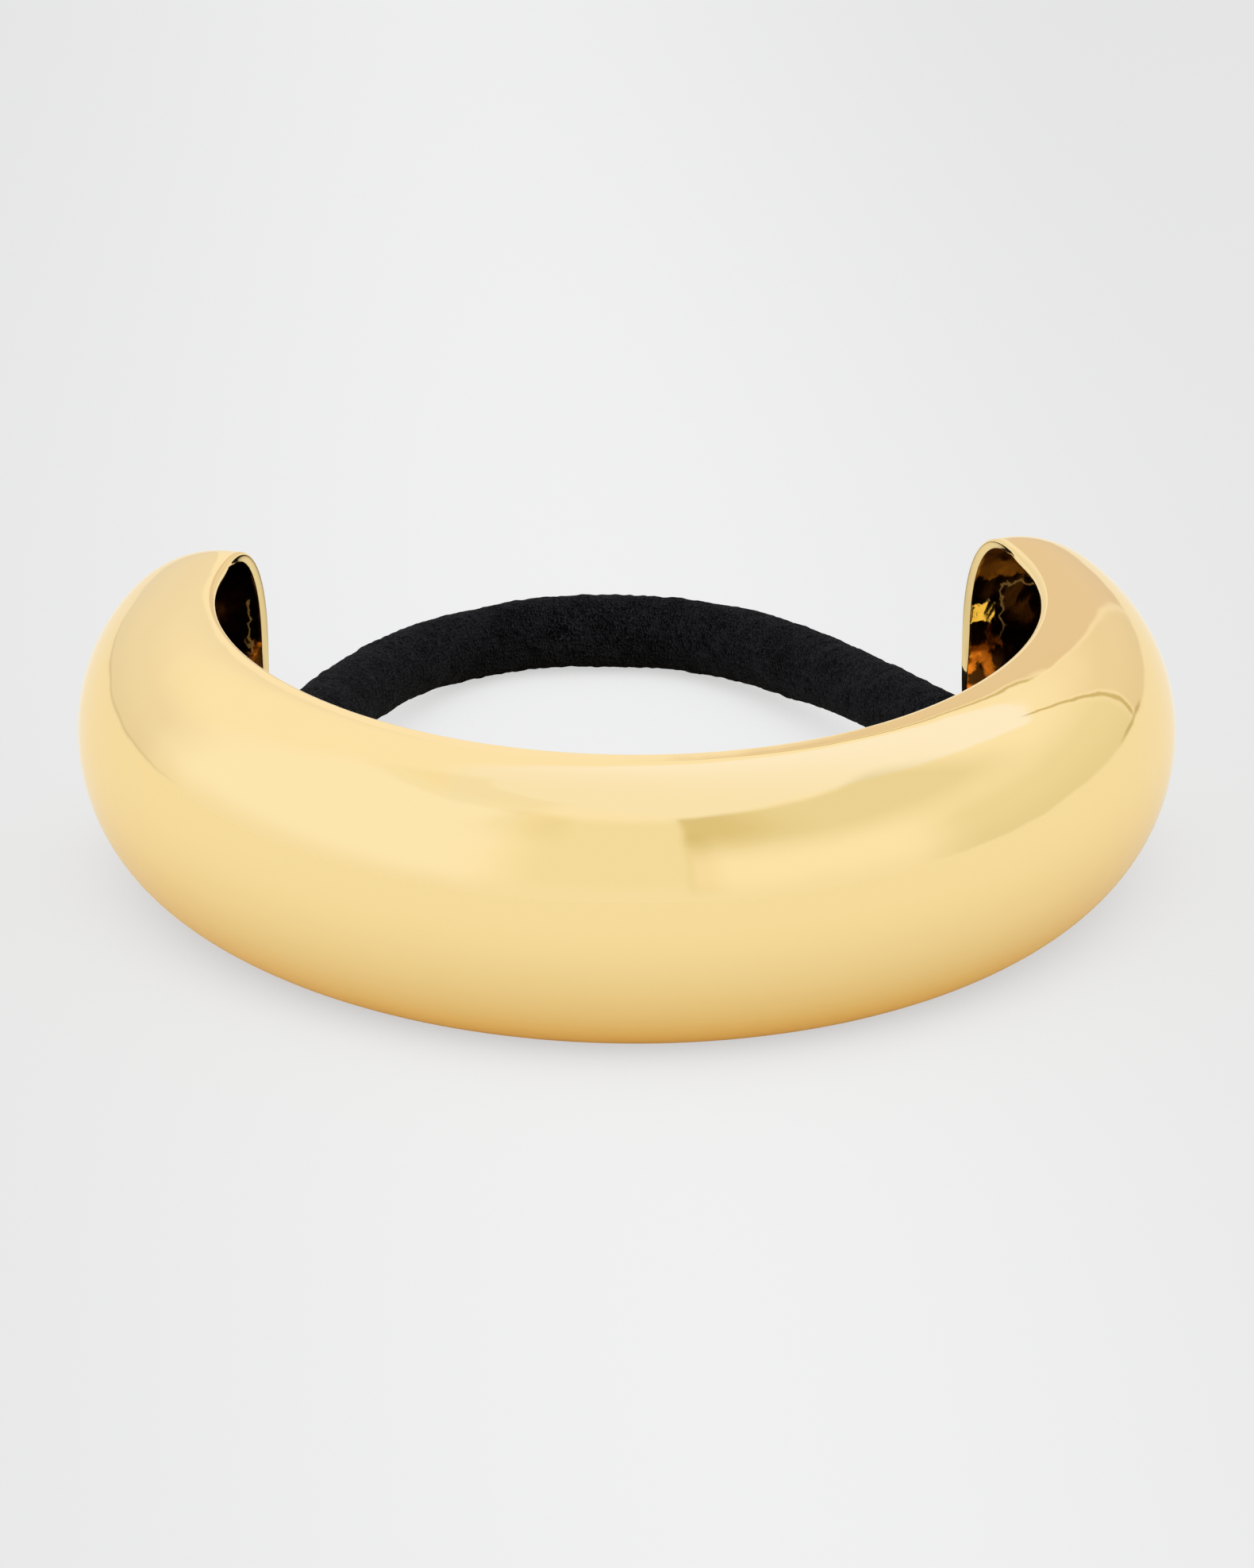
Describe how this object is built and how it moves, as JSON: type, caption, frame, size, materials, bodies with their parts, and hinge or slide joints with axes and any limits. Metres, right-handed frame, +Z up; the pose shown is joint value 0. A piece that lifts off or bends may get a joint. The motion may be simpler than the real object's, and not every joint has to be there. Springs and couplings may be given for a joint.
{
  "type": "ponytail cuff",
  "caption": "Puffed, hollow-backed gold-plated cuff that wraps the front of a ponytail, with a black covered elastic loop held behind a strap inside it.",
  "frame": {"origin": "under the middle of the cuff's own box, without the elastic, on the surface that the cuff stands on", "axes": "+Z up, square to the two rims; -Y is the front that shows on the ponytail, and the two arms reach back towards +Y; +X is the wearer's left to right, seen from the front"},
  "size_m": [0.0642, 0.0743, 0.017],
  "materials": {
    "gold_plate": "mirror-polished gold plate on brass",
    "elastic_knit": "matt black knitted cover over a rubber core"
  },
  "bodies": {
    "root": {"cuff_shell": "gold_plate", "elastic_loop": "elastic_knit"}
  },
  "joints": []
}
